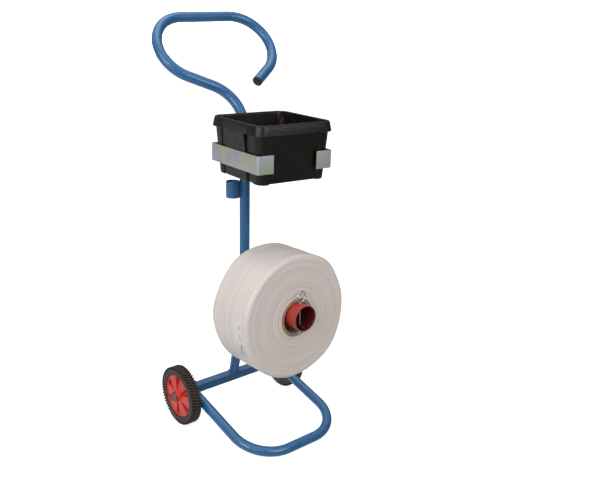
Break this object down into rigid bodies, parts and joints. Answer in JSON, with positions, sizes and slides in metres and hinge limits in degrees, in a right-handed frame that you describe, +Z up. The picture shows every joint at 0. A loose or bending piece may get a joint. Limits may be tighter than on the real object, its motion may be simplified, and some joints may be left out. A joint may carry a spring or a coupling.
{
  "type": "strapping dispenser trolley",
  "caption": "Two-wheeled strapping trolley: a bent tube mast with a push handle carries a coil of plastic strap on a spindle, a bracketed parts bin and a tool sleeve.",
  "frame": {"origin": "on the floor, at the centre of the bounding box's bottom face", "axes": "+Z up; +X to the right wheel as seen from the front; the coil's face and the floor loop are towards -Y, and the wheels and push handle towards +Y"},
  "size_m": [0.382, 0.4516, 1.0074],
  "materials": {
    "blue_paint": "glossy blue paint",
    "red_paint": "satin red paint",
    "rim_plastic": "bright red moulded plastic, satin",
    "rubber": "black rubber",
    "black_plastic": "black, matt",
    "bin_plastic": "dark brown-black moulded plastic, satin",
    "zinc": "zinc plated, yellowish in places",
    "steel": "bright steel",
    "strapping": "off-white polypropylene strapping, satin",
    "cardboard": "plain grey-brown board"
  },
  "bodies": {
    "frame": {"axle": "steel", "base_loop": "blue_paint", "bin_bracket": "zinc", "bracket_bolt_lower": "steel", "bracket_bolt_upper": "steel", "bracket_nut_lower": "steel", "bracket_nut_upper": "steel", "crossbar": "blue_paint", "end_plate_left": "blue_paint", "end_plate_right": "blue_paint", "handle_end_plug": "black_plastic", "hub_cap_left": "steel", "hub_cap_right": "steel", "inner_washer_left": "steel", "inner_washer_right": "steel", "mast_tube": "blue_paint", "outer_washer_left": "steel", "outer_washer_right": "steel", "spindle_stub": "blue_paint", "spindle_tube": "red_paint", "stop_disc": "blue_paint", "stop_screw": "black_plastic", "tool_ring": "blue_paint"},
    "wheel_left": {"tyre_left": "rubber", "wheel_rim_left": "rim_plastic"},
    "wheel_right": {"tyre_right": "rubber", "wheel_rim_right": "rim_plastic"},
    "coil": {"strap_coil": "strapping", "coil_core": "cardboard"},
    "pin": {"retaining_pin": "steel"},
    "bin": {"parts_bin": "bin_plastic"}
  },
  "joints": [
    {"name": "wheel_spin_left", "type": "hinge", "parent": "frame", "child": "wheel_left", "pos_m": [-0.1655, 0.06471, 0.075], "axis": [1, 0, 0], "continuous": true},
    {"name": "wheel_spin_right", "type": "hinge", "parent": "frame", "child": "wheel_right", "pos_m": [0.1655, 0.06471, 0.075], "axis": [1, 0, 0], "continuous": true},
    {"name": "coil_spin", "type": "hinge", "parent": "frame", "child": "coil", "pos_m": [0, -0.18574, 0.3301], "axis": [0, 0.9997, -0.0227], "continuous": true},
    {"name": "pin_lift", "type": "slide", "parent": "frame", "child": "pin", "axis": [0, 0.0227, 0.9997], "range_m": [0, 0.085]},
    {"name": "bin_lift", "type": "slide", "parent": "frame", "child": "bin", "axis": [0, 0, 1], "range_m": [0, 0.08]}
  ]
}
